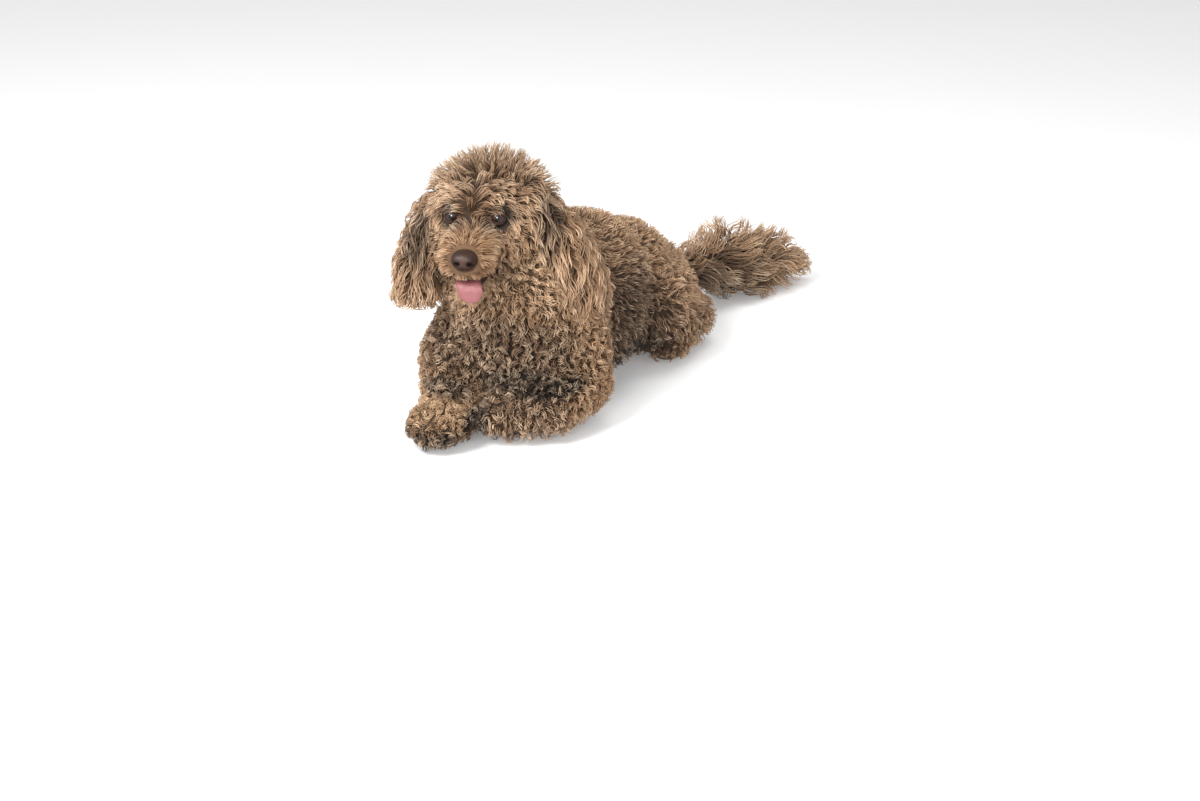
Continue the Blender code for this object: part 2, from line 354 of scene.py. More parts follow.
def wholeFlesh():
    joined = bmesh.new()
    for name in flesh:
        part = bmesh.new()
        part.from_mesh(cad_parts[name].data)
        bmesh.ops.remove_doubles(part, verts=part.verts, dist=1e-5)
        bmesh.ops.recalc_face_normals(part, faces=part.faces)
        for vertex in part.verts:
            vertex.co += vertex.normal * skinMake["seal"]
        held = bpy.data.meshes.new("held")
        part.to_mesh(held)
        joined.from_mesh(held)
        part.free()
        bpy.data.meshes.remove(held)
    mesh = bpy.data.meshes.new("flesh")
    joined.to_mesh(mesh)
    joined.free()
    return mesh


def voxelled(mesh, size):
    owner = newObject("voxelling", mesh)
    remesh = owner.modifiers.new("even", "REMESH")
    remesh.mode, remesh.voxel_size = "VOXEL", size
    made = evaluatedMesh(owner)
    bpy.data.objects.remove(owner)
    return made


def nodeLookup():
    points, faces, owners, start = [], [], [], 0
    for index, name in enumerate(flesh):
        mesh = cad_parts[name].data
        nodePoints, nodeFaces = pointsOf(mesh), trianglesOf(mesh)
        points.append(nodePoints)
        faces.append(nodeFaces + start)
        owners.append(np.full(len(nodeFaces), index))
        start += len(nodePoints)
    tree = BVHTree.FromPolygons(np.vstack(points).tolist(), np.vstack(faces).tolist())
    return tree, np.concatenate(owners)


def tailAxis(points):
    # middle of the tail at each length, read off the solid's own slices, and the way it runs there
    solid = pointsOf(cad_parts["tail"].data)
    stations = np.linspace(solid[:, 1].min(), solid[:, 1].max(), tailSlices["count"])
    middles = []
    for low, high in zip(stations[:-1], stations[1:]):
        ring = solid[(solid[:, 1] >= low - tailSlices["overlap"]) & (solid[:, 1] <= high + tailSlices["overlap"])]
        middles.append((ring.min(0) + ring.max(0)) / 2.0)
    middles = np.array(middles)

    def middleAt(lengths):
        return np.stack([np.interp(lengths, middles[:, 1], middles[:, k]) for k in range(3)], 1)

    ahead, behind = middleAt(points[:, 1] + tailSlices["step"]), middleAt(points[:, 1] - tailSlices["step"])
    return middleAt(points[:, 1]), unit(ahead - behind)


def regionsOf(points, normals, tree, owners):
    nearest = np.array([owners[tree.find_nearest(p)[2]] for p in points.tolist()])
    node = np.array(flesh)[nearest]
    forward, left, above = inHead(points).T
    edge = regionEdges
    label = np.full(len(points), regionNames.index("flank"))

    def mark(where, region):
        label[where] = regionNames.index(region)

    onTrunk = node == "trunk"
    mark(onTrunk & (normals[:, 2] > edge["backSlope"]) & (points[:, 1] > edge["backFrom"]), "back")
    mark(onTrunk & (points[:, 1] < edge["chestTo"]) & (normals[:, 2] < edge["chestSlope"]), "chest")
    mark(node == "neck", "neck")
    onSkull = node == "head"
    mark(onSkull, "cheek")
    onNape = (forward < edge["napeTo"]) & (above > edge["napeFrom"])
    mark(onSkull & ((above > edge["crownFrom"]) | onNape), "topknot")
    onBrow = (above > edge["browFrom"]) & (above <= edge["browTo"])
    onBrow &= (forward > edge["browBack"]) & (np.abs(left) < edge["browHalf"])
    mark(onSkull & onBrow, "brow")
    mark(onSkull & (forward > edge["muzzleFrom"]) & (above < edge["muzzleTo"]), "muzzle")
    mark(node == "jaw", "chin")
    for start in ("ear", "tail", "foreleg", "forepaw", "hindleg", "hindpaw"):
        mark(np.char.startswith(node, start), start)
    return label


def nearestEye(points):
    gaps = [np.linalg.norm(points - eyeCentres[side], axis=1) for side in ("left", "right")]
    return np.minimum(*gaps)


def thinned(gap, near, far):
    least = skinMake["thinnest"]
    return least + (1.0 - least) * smoothStep(gap, near, far)


def shrunk(mesh, depth):
    points, triangles, edges = pointsOf(mesh), trianglesOf(mesh), edgesOf(mesh)
    steps = skinMake["shrinkSteps"]
    for _ in range(steps):
        points = points - normalsOf(points, triangles) * depth[:, None] / steps
        points = relaxed(points, edges, 1, skinMake["shrinkEase"])
    mesh.vertices.foreach_set("co", points.ravel())
    mesh.update()
    return mesh


def makeSkin():
    outline = voxelled(wholeFlesh(), skinMake["voxel"])
    points, triangles, edges = pointsOf(outline), trianglesOf(outline), edgesOf(outline)
    tree, owners = nodeLookup()
    label = regionsOf(points, normalsOf(points, triangles), tree, owners)
    depth = np.array([coatDepth[name] for name in regionNames])[label]
    tail = label == regionNames.index("tail")
    foot, _ = tailAxis(points)
    plume = np.linalg.norm(points - foot, axis=1)[tail] - skinMake["tailCore"]
    depth[tail] = np.maximum(plume, skinMake["tailLeast"])
    depth *= thinned(nearestEye(points), *skinMake["thinByEye"])
    depth *= thinned(np.linalg.norm(points - noseMiddle, axis=1), *skinMake["thinByNose"])
    depth *= 1.0 - skinMake["thinAtMouth"] * mouthShare(points)
    depth = relaxed(depth, edges, skinMake["depthRounds"])
    outlineTree = BVHTree.FromPolygons(points.tolist(), triangles.tolist())
    mesh = voxelled(shrunk(outline, depth), skinMake["fineVoxel"])
    mesh.vertices.foreach_set("co", relaxed(pointsOf(mesh), edgesOf(mesh), skinMake["pointRounds"]).ravel())
    mesh.update()
    mesh.name = "skin"
    skin = newObject("skin", mesh)
    bpy.context.view_layer.objects.active = skin
    skin.select_set(True)
    bpy.ops.object.mode_set(mode="EDIT")
    bpy.ops.mesh.select_all(action="SELECT")
    mesh.uv_layers.new(name="OFBake")
    limit = math.radians(skinMake["unwrapAngle"])
    bpy.ops.uv.smart_project(angle_limit=limit, island_margin=skinMake["islandMargin"])
    bpy.ops.object.mode_set(mode="OBJECT")
    skin.select_set(False)
    return skin, outlineTree, tree, owners


skin, outlineTree, nodeTree, nodeOwners = makeSkin()
skinPoints = pointsOf(skin.data)
skinTriangles = trianglesOf(skin.data)
skinEdges = edgesOf(skin.data)
skinNormals = normalsOf(skinPoints, skinTriangles)
skinLabels = regionsOf(skinPoints, skinNormals, nodeTree, nodeOwners)
room = np.array([outlineTree.find_nearest(p)[3] for p in skinPoints.tolist()])
room = relaxed(room, skinEdges, skinMake["roomRounds"])  # from the skin out to the coat's outline
print("skin:", len(skinPoints), "points, coat depth", round(room.min(), 4), "to", round(room.max(), 4))


bare = {  # where no coat is sown or lies
    "eyeGap": 0.0008, "eyeEdge": 0.001, "noseGap": 0.0002, "noseEdge": (0.70, 0.85),
    "eyeWide": 0.80, "eyeTall": 0.52, "eyeAhead": 0.045,  # the clear ellipse before each eye, in eye radii and metres
    "noseClear": 0.0008, "mostPush": (4.0, 5.0),  # how far locks may be pushed out, by the eyes and by the nose
}
noseHalf = np.array((0.0125, 0.015, 0.012))


def bareShare(points):
    lid = eyeSize + bare["eyeGap"]
    eyes = 1.0 - smoothStep(nearestEye(points), lid - bare["eyeEdge"], lid + bare["eyeEdge"])
    gap = np.linalg.norm(((points - noseMiddle) @ headAxes.T) / (noseHalf + bare["noseGap"]), axis=1)
    return np.maximum(np.maximum(eyes, 1.0 - smoothStep(gap, *bare["noseEdge"])), mouthShare(points))


lieMake = {
    "crown": (-0.055, 0.004, 0.060),  # where the topknot parts, on the head
    "parting": 0.012,  # half width over which the lie turns from right to left, on the head
    "spine": 0.04,  # the same, on the body
    "rounds": 8,
    "lastRounds": 2,
}


def lieOf(points, normals, labels):
    head = inHead(points)
    left, above = head[:, 1:2], head[:, 2:3]
    side = np.clip(left / lieMake["parting"], -1.0, 1.0)
    crown = onHead(*lieMake["crown"])
    _, tailWay = tailAxis(points)
    flankSide = np.clip(points[:, :1] / lieMake["spine"], -1.0, 1.0)
    browRise = 0.85 - 1.5 * np.minimum(np.abs(left) / 0.042, 1.0)  # up between the eyes, down beside them
    whiskerFall = np.clip(0.10 + np.abs(left) / 0.035, 0.0, 0.9) + 1.2 * smoothStep(-above, 0.040, 0.052)
    back = np.array((0.0, 1.0, 0.0))
    across = np.array((1.0, 0.0, 0.0))
    ways = {
        "topknot": unit(points - crown) + 0.25 * headForward,
        "brow": 0.8 * side * headLeft + browRise * up + 0.25 * headForward,
        "muzzle": -0.75 * headForward + 0.75 * side * headLeft - up * whiskerFall,
        "cheek": -0.55 * headForward - 0.75 * up + 0.4 * side * headLeft,
        "chin": -0.8 * headForward - 0.6 * up,
        "ear": -up + 0.12 * headForward + 0.12 * side * headLeft,
        "neck": -up + 0.25 * back + 0.15 * flankSide * across,
        "chest": -up + 0.12 * back + 0.15 * flankSide * across,
        "back": back + 0.35 * flankSide * across - 0.35 * up,
        "flank": 0.75 * back - 0.7 * up,
        "foreleg": -0.8 * up - 0.35 * back + 0.25 * flankSide * across,
        "forepaw": -0.9 * back - 0.5 * up,
        "hindleg": -0.55 * up + 0.6 * back,
        "hindpaw": -0.9 * back - 0.4 * up,
        "tail": tailWay,
    }
    lie = np.zeros_like(points)
    for index, name in enumerate(regionNames):
        here = labels == index
        lie[here] = np.broadcast_to(ways[name], points.shape)[here]
    lie = relaxed(unit(lie), skinEdges, lieMake["rounds"])
    lie -= normals * (lie * normals).sum(1, keepdims=True)
    return unit(relaxed(lie, skinEdges, lieMake["lastRounds"]))


skinLie = lieOf(skinPoints, skinNormals, skinLabels)
foldShadeMake = {  # the painted shade of a fold is full where the smoothed skin stands this far off the skin
    "rounds": 70, "least": 0.0006, "depth": 0.0045,
    "toes": 4, "toeGap": 0.0028, "toeReach": 0.045, "toeFade": 0.02, "toeTop": (0.022, 0.040), "toeAhead": 0.01,
}


def foldShadesOf(points, normals):
    # painted shade: 1 in the folds between limbs and body and between the toes, where little light reaches the coat
    make = foldShadeMake
    filled = relaxed(points, skinEdges, make["rounds"])
    fold = smoothStep(((filled - points) * normals).sum(1), make["least"], make["depth"])
    for paw in ("forepaw_left", "forepaw_right", "hindpaw_left", "hindpaw_right"):
        low, high = boxOf(paw)
        pitch = (high[0] - low[0]) / make["toes"]
        across = (points[:, 0] - low[0]) / pitch
        gap = np.abs(across - np.round(across)) * pitch
        inside = (across > 0.5) & (across < make["toes"] - 0.5) & (points[:, 1] > low[1] - make["toeAhead"])
        front = smoothStep(low[1] + make["toeReach"] - points[:, 1], 0.0, make["toeFade"])
        front *= 1.0 - smoothStep(points[:, 2], *make["toeTop"])
        fold = np.maximum(fold, np.exp(-((gap / make["toeGap"]) ** 2)) * front * inside)
    return relaxed(fold, skinEdges, 1)


def lookupOf(points):
    lookup = KDTree(len(points))
    for index, point in enumerate(points.tolist()):
        lookup.insert(point, index)
    lookup.balance()
    return lookup


skinFoldShade = foldShadesOf(skinPoints, skinNormals)
regionShares = relaxed(np.eye(len(regionNames))[skinLabels], skinEdges, skinMake["regionRounds"])
skinGrow = 1.0 - bareShare(skinPoints)
skinLookup = lookupOf(skinPoints)
print("lie, folds and", len(regionNames), "regions of the coat laid out")

# Each region's locks, in metres. rise: share of the coat's depth that a tip reaches; arch: 1 straight, more lies
# flatter; reach: travel along the skin; curl: radius of the wave; turns: waves in a lock; thick: a strand's half
# width; clump: how far strands run together at the tip; wild: how much tufts differ in direction; sag: fall of the
# tip; hang: how far the way turns straight down by the tip.
lockKeys = ("rise", "arch", "reach", "curl", "turns", "thick", "clump", "wild", "sag", "hang")
lockShapes = {
    "topknot": (1.22, 1.05, 0.005, 0.0019, 1.1, 0.00084, 0.62, 0.60, 0.000, 0.0),
    "brow": (1.14, 1.35, 0.018, 0.0015, 0.9, 0.00070, 0.70, 0.30, 0.003, 0.45),
    "muzzle": (1.05, 1.50, 0.012, 0.0006, 0.7, 0.00046, 0.45, 0.22, 0.000, 0.05),
    "cheek": (1.10, 1.40, 0.008, 0.0018, 1.1, 0.00078, 0.58, 0.55, 0.001, 0.3),
    "chin": (1.00, 1.30, 0.009, 0.0012, 0.9, 0.00058, 0.60, 0.30, 0.002, 0.3),
    "ear": (1.04, 1.65, 0.034, 0.0026, 1.45, 0.00086, 0.76, 0.26, 0.002, 0.9),
    "neck": (1.08, 1.25, 0.008, 0.0021, 1.2, 0.00088, 0.50, 0.62, 0.001, 0.3),
    "chest": (1.06, 1.25, 0.007, 0.0021, 1.25, 0.00088, 0.48, 0.65, 0.001, 0.25),
    "back": (1.00, 1.30, 0.006, 0.0012, 0.9, 0.00080, 0.50, 0.50, 0.000, 0.0),
    "flank": (1.00, 1.35, 0.007, 0.0012, 0.9, 0.00080, 0.50, 0.50, 0.000, 0.1),
    "foreleg": (1.06, 1.25, 0.007, 0.0020, 1.25, 0.00088, 0.48, 0.65, 0.001, 0.2),
    "forepaw": (1.06, 1.25, 0.006, 0.0021, 1.15, 0.00092, 0.58, 0.60, 0.001, 0.1),
    "hindleg": (1.05, 1.30, 0.008, 0.0018, 1.1, 0.00088, 0.50, 0.50, 0.001, 0.1),
    "hindpaw": (1.06, 1.25, 0.005, 0.0020, 1.1, 0.00098, 0.70, 0.60, 0.001, 0.1),
    "tail": (1.04, 1.20, 0.044, 0.0034, 1.35, 0.00094, 0.82, 0.34, 0.002, 0.0),
}
lockTable = np.array([lockShapes[name] for name in regionNames])

coatPieces = {  # strands, tufts: gaps between roots and between the tufts they gather in; side: +1 left, -1 right
    "coatTopknot": {"regions": ("topknot",), "strands": 0.0022, "tufts": 0.0056, "rings": 7, "seed": 11},
    "coatBrow": {"regions": ("brow",), "strands": 0.0018, "tufts": 0.0062, "rings": 8, "seed": 23},
    "coatCheeks": {"regions": ("cheek",), "strands": 0.0020, "tufts": 0.0050, "rings": 7, "seed": 12},
    "coatMuzzle": {"regions": ("muzzle", "chin"), "strands": 0.0013, "tufts": 0.0036, "rings": 5, "seed": 20},
    "coatEars": {"regions": ("ear",), "strands": 0.0025, "tufts": 0.0064, "rings": 11, "seed": 13, "trim": 0.011},
    "coatNeck": {"regions": ("neck",), "strands": 0.0020, "tufts": 0.0048, "rings": 8, "seed": 14},
    "coatChest": {"regions": ("chest",), "strands": 0.0019, "tufts": 0.0047, "rings": 8, "seed": 15},
    "coatBack": {"regions": ("back", "flank"), "strands": 0.0028, "tufts": 0.0062, "rings": 5, "seed": 16},
    "coatForelegLeft": {
        "regions": ("foreleg",), "side": 1, "strands": 0.0020, "tufts": 0.0048, "rings": 7, "seed": 17,
    },
    "coatForelegRight": {
        "regions": ("foreleg",), "side": -1, "strands": 0.0020, "tufts": 0.0048, "rings": 7, "seed": 22,
    },
    "coatForepaws": {"regions": ("forepaw",), "strands": 0.0019, "tufts": 0.0056, "rings": 7, "seed": 21},
    "coatHindlegs": {"regions": ("hindleg", "hindpaw"), "strands": 0.0026, "tufts": 0.0060, "rings": 6, "seed": 18},
    "coatTail": {"regions": ("tail",), "strands": 0.0024, "tufts": 0.0080, "rings": 11, "seed": 19},
}
strandMake = {
    "sides": 3,
    "tries": 1.6,  # roots tried in each square gap
    "rootDepth": 0.0015,  # under the skin
    "overshoot": 0.004,  # how far past the outline a tip may run
    "farthest": 0.12,
    "floorSlope": -0.55, "floorHeight": 0.035, "floorShare": 0.15,  # few roots where the skin faces the floor
    "floorGap": 0.0004,
    "strandSeed": 50,  # added to a piece's seed for its strands
    "earLine": 0.016,  # the ears' locks are trimmed from this height over the ear's foot
    "curlFrom": 2.6,  # the curl is full after 1 part in this of the length
}
spread = {  # how much tufts differ, then the strands in a tuft
    "tuftLift": (0.90, 1.15), "tuftTurns": (0.65, 1.4), "tuftWidth": (0.6, 1.35),
    "lift": (0.90, 1.08), "way": 0.18, "pull": (0.75, 1.0), "phase": 0.35, "width": (0.8, 1.2), "thick": (0.75, 1.2),
    "tints": (0.55, 0.45),  # shares of the tuft's tint and of the strand's own
}
patchMake = {"width": 0.003, "cap": 0.12, "tip": (0.15, 0.85)}  # a strand's own place on the skin's unwrap


def sowTree():
    inputs = {"Gap": ("NodeSocketFloat", 0.003), "Density": ("NodeSocketFloat", 1e5), "Seed": ("NodeSocketInt", 1)}
    wire, given = geometryTree("sow roots", inputs)
    grow = wire.node("GeometryNodeInputNamedAttribute", {"data_type": "FLOAT"}, {"Name": "grow"})
    chances = {"Distance Min": given["Gap"], "Density Max": given["Density"], "Density Factor": grow}
    sown = wire.node(
        "GeometryNodeDistributePointsOnFaces", {"distribute_method": "POISSON"},
        {"Mesh": given["Geometry"], **chances, "Seed": given["Seed"]},
    )
    return closeTree(wire.node("GeometryNodePointsToVertices", None, {"Points": sown}))


def sweepTree():
    inputs = {"Sides": ("NodeSocketInt", strandMake["sides"]), "Finish": ("NodeSocketMaterial", None)}
    wire, given = geometryTree("sweep locks", inputs)
    curve = wire.node("GeometryNodeMeshToCurve", None, {"Mesh": given["Geometry"]})
    thick = wire.node("GeometryNodeInputNamedAttribute", {"data_type": "FLOAT"}, {"Name": "thick"})
    ring = wire.node(
        "GeometryNodeCurvePrimitiveCircle", {"mode": "RADIUS"}, {"Resolution": given["Sides"], "Radius": 1.0},
    )
    ring = wire.node(
        "GeometryNodeStoreNamedAttribute", {"data_type": "FLOAT", "domain": "POINT"},
        {"Geometry": ring, "Name": "around", "Value": wire.node("GeometryNodeInputIndex")},
    )
    sweep = {"Curve": curve, "Profile Curve": ring, "Scale": thick, "Fill Caps": True}
    swept = wire.node("GeometryNodeCurveToMesh", None, sweep)
    whole = wire.node("GeometryNodeRealizeInstances", None, {"Geometry": swept})
    return closeTree(wire.node("GeometryNodeSetMaterial", None, {"Geometry": whole, "Material": given["Finish"]}))


def rootsFor(growth, gap, seed, tree):
    mesh = skin.data.copy()
    attribute(mesh, "grow", growth)
    values = {"Gap": gap, "Density": strandMake["tries"] / gap**2, "Seed": seed}
    made = runTree(newObject("sowing", mesh), tree, values)
    points = pointsOf(made)
    places = readAttribute(made, "OFBake", 2)
    nearest = np.array([skinLookup.find(p)[1] for p in points.tolist()])
    return points, places, nearest


def freeReach(points, nearest, way):
    # how far each lock can run along the lie before it leaves the outline
    start = points + skinNormals[nearest] * room[nearest][:, None] * 0.5
    farthest = strandMake["farthest"]
    hits = [outlineTree.ray_cast(*pair, farthest) for pair in zip(start.tolist(), way.tolist())]
    return np.array([farthest if hit[0] is None else hit[3] for hit in hits])


def basePaths(points, nearest, way, lift, along):
    # straight run of each lock before its curl: out of the skin, then over along the lie
    shape = regionShares[nearest] @ lockTable
    value = {key: shape[:, k, None] for k, key in enumerate(lockKeys)}
    normal = skinNormals[nearest][:, None, :]
    height = (value["rise"] * room[nearest][:, None] * lift[:, None]) * (1.0 - (1.0 - along) ** value["arch"])
    hang = (value["hang"] * along)[..., None]
    heading = unit(way[:, None, :] * (1.0 - hang) - up * hang)
    middle = heading[:, heading.shape[1] // 2]
    reach = np.minimum(value["reach"], freeReach(points, nearest, middle)[:, None] + strandMake["overshoot"])
    steps = np.diff(along**1.2, axis=1, prepend=0.0) * reach
    path = points[:, None, :] - normal * strandMake["rootDepth"] + normal * height[..., None]
    path = path + np.cumsum(heading * steps[..., None], axis=1)
    path[..., 2] -= value["sag"] * along**2
    return path, value


def turnedWays(nearest, wild, rng):
    # the lie at each root, swung about the skin's normal by a random angle
    normal, way = skinNormals[nearest], skinLie[nearest]
    angle = (rng.normal(size=len(nearest)) * wild)[:, None]
    return way * np.cos(angle) + np.cross(normal, way) * np.sin(angle)


def growthFor(make):
    # share of the full number of roots, over the skin
    wanted = np.isin(skinLabels, [regionNames.index(region) for region in make["regions"]]).astype(float)
    if "side" in make:
        wanted *= skinPoints[:, 0] * make["side"] >= 0.0
    onFloor = (skinNormals[:, 2] < strandMake["floorSlope"]) & (skinPoints[:, 2] < strandMake["floorHeight"])
    return wanted * skinGrow * np.where(onFloor, strandMake["floorShare"], 1.0)


def growTufts(growth, make, along, tree, rng):
    # one path for each tuft, and what its strands share
    points, _, nearest = rootsFor(growth, make["tufts"], make["seed"], tree)
    count = len(points)
    way = turnedWays(nearest, (regionShares[nearest] @ lockTable)[:, lockKeys.index("wild")], rng)
    lift = rng.uniform(*spread["tuftLift"], count)
    path, _ = basePaths(points, nearest, way, lift, along)
    return points, {
        "way": way, "lift": lift, "path": path,
        "phase": rng.uniform(0.0, 2.0 * math.pi, count),
        "spin": rng.choice((-1.0, 1.0), count),
        "turns": rng.uniform(*spread["tuftTurns"], count),
        "width": rng.uniform(*spread["tuftWidth"], count),
        "tint": rng.uniform(0.0, 1.0, count),
    }


def curled(path, nearest, value, tuft, along, rng):
    # winds each strand round its own run, in step with its tuft
    count = len(path)
    heading = unit(np.gradient(path, axis=1))
    leaning = skinNormals[nearest][:, None, :] + 0.2 * skinLie[nearest][:, None, :]
    firstSide = unit(np.cross(heading, leaning))
    secondSide = np.cross(heading, firstSide)
    phase = tuft["phase"] + rng.normal(size=count) * spread["phase"]
    winding = tuft["spin"][:, None] * tuft["turns"][:, None] * value["turns"] * 2.0 * math.pi * along
    angle = phase[:, None] + winding
    width = value["curl"] * np.minimum(along * strandMake["curlFrom"], 1.0)
    width = width * (tuft["width"] * rng.uniform(*spread["width"], count))[:, None]
    return path + firstSide * (np.cos(angle) * width)[..., None] + secondSide * (np.sin(angle) * width)[..., None]


def trimmed(path, points, trim):
    # draws in what hangs far below the ears, softly
    for ear in ("ear_left", "ear_right"):
        low, high = boxOf(ear)
        here = ((points[:, :2] > low[:2]) & (points[:, :2] < high[:2])).all(1)
        below = np.maximum(low[2] + strandMake["earLine"] - path[here, :, 2], 0.0)
        path[here, :, 2] += below - trim * (1.0 - np.exp(-below / trim))
    return path


def guideMesh(name, path, values, places):
    # the strands' middle lines, with what the sweep and the finish read
    count, rings = path.shape[:2]
    mesh = bpy.data.meshes.new(name)
    mesh.vertices.add(count * rings)
    mesh.vertices.foreach_set("co", path.reshape(-1).astype(np.float32))
    first = (np.arange(count)[:, None] * rings + np.arange(rings - 1)[None, :]).reshape(-1)
    mesh.edges.add(len(first))
    mesh.edges.foreach_set("vertices", np.stack((first, first + 1), 1).ravel())
    for key, value in values.items():
        attribute(mesh, key, np.broadcast_to(value, (count, rings)).ravel())
    attribute(mesh, "place", np.repeat(places, rings, 0), "FLOAT2")
    return mesh


def growLocks(name, make, trees):
    rng = np.random.default_rng(make["seed"])
    growth = growthFor(make)
    along = np.linspace(0.0, 1.0, make["rings"])[None, :]
    tuftPoints, tufts = growTufts(growth, make, along, trees["sow"], rng)
    points, places, nearest = rootsFor(growth, make["strands"], make["seed"] + strandMake["strandSeed"], trees["sow"])
    lookup = lookupOf(tuftPoints)
    owner = np.array([lookup.find(p)[1] for p in points.tolist()])
    tuft = {key: values[owner] for key, values in tufts.items()}
    count = len(points)

    lift = tuft["lift"] * rng.uniform(*spread["lift"], count)
    way = unit(tuft["way"] + spread["way"] * rng.normal(size=(count, 3)))
    path, value = basePaths(points, nearest, way, lift, along)
    pull = (value["clump"] * along**1.25)[..., None] * rng.uniform(*spread["pull"], count)[:, None, None]
    path = combedOff(curled(path + (tuft["path"] - path) * pull, nearest, value, tuft, along, rng))
    if "trim" in make:
        path = trimmed(path, points, make["trim"])
    taper = np.maximum((0.72 + 0.5 * along) * (1.0 - along**2.6) ** 0.75, 0.10)  # fullest past the middle
    thick = value["thick"] * rng.uniform(*spread["thick"], count)[:, None] * taper
    path[..., 2] = np.maximum(path[..., 2], strandMake["floorGap"] + thick)
    tuftTint, ownTint = spread["tints"]
    tint = tuftTint * tuft["tint"] + ownTint * rng.uniform(0.0, 1.0, count)

    values = {"thick": thick, "along": along, "tint": tint[:, None], "fold": skinFoldShade[nearest][:, None]}
    guides = newObject(name + "Guides", guideMesh(name + "Guides", path, values, places))
    mesh = runTree(guides, trees["sweep"], {"Sides": strandMake["sides"], "Finish": finishes["coat"]})
    mesh.name = name
    addPatches(mesh)
    finishPiece(newObject(name, mesh), finishes["coat"])
    print(name + ":", count, "strands,", len(trianglesOf(mesh)), "triangles")


def combedOff(path):
    # keeps the locks out of the eyes' openings and off the nose
    mostEye, mostNose = bare["mostPush"]
    for side in ("left", "right"):
        offset = path - eyeCentres[side]
        gaze, across, above = gazeAxes(side)
        depth, aside, height = offset @ gaze, offset @ across, offset @ above
        gap = np.hypot(aside / (bare["eyeWide"] * eyeSize), height / (bare["eyeTall"] * eyeSize))
        inside = (gap < 1.0) & (depth > 0.0) & (depth < bare["eyeAhead"])
        grown = np.where(inside, 1.0 / np.maximum(gap, 1.0 / mostEye), 1.0)[..., None] - 1.0
        path = path + (aside[..., None] * across + height[..., None] * above) * grown
    half = noseHalf + bare["noseClear"]
    local = ((path - noseMiddle) @ headAxes.T) / half
    gap = np.linalg.norm(local, axis=-1)
    grown = np.where(gap < 1.0, 1.0 / np.maximum(gap, 1.0 / mostNose), 1.0)[..., None] - 1.0
    return path + (local * grown * half) @ headAxes


def addPatches(mesh):
    # OFBake: each strand is a small patch at its root's place on the skin's unwrap
    corners = readAll(mesh.loops, "vertex_index", 1, np.int64)
    place = readAttribute(mesh, "place", 2)[corners]
    along = readAttribute(mesh, "along", 1)[corners]
    across = readAttribute(mesh, "around", 1)[corners] / (strandMake["sides"] - 1.0)
    starts, totals = (readAll(mesh.polygons, field, 1, np.int64) for field in ("loop_start", "loop_total"))
    caps = starts[totals == strandMake["sides"]]  # the sides themselves have four corners
    for corner in range(strandMake["sides"]):
        turn = 2.0 * math.pi * corner / strandMake["sides"]
        end = np.clip(np.round(along[caps + corner]), *patchMake["tip"])
        across[caps + corner] = 0.5 + patchMake["cap"] * math.cos(turn)
        along[caps + corner] = end + patchMake["cap"] * math.sin(turn)
    patch = place + patchMake["width"] * (np.stack((across, along), 1) - 0.5)
    layer = mesh.uv_layers.get("OFBake") or mesh.uv_layers.new(name="OFBake")
    layer.uv.foreach_set("vector", patch.astype(np.float32).ravel())
    mesh.attributes.remove(mesh.attributes["place"])


coatColours = {
    "ground": linear(182, 146, 113),
    "warm": linear(164, 127, 93),
    "pale": linear(244, 216, 184),  # the sunlit ends
    # the colour of the painted shade in the folds and between the toes
    "fold": linear(58, 42, 31),
}
coatShade = [  # from the root to the tip
    (0.0, (0.24, 0.22, 0.21, 1)), (0.35, (0.56, 0.53, 0.51, 1)),
    (0.75, (0.90, 0.89, 0.88, 1)), (1.0, (1.0, 1.0, 1.0, 1)),
]
coatTone = {"least": 0.78, "tint": 0.32, "hairs": 0.22, "sun": 0.68, "fold": 0.72}  # how strongly each one shows


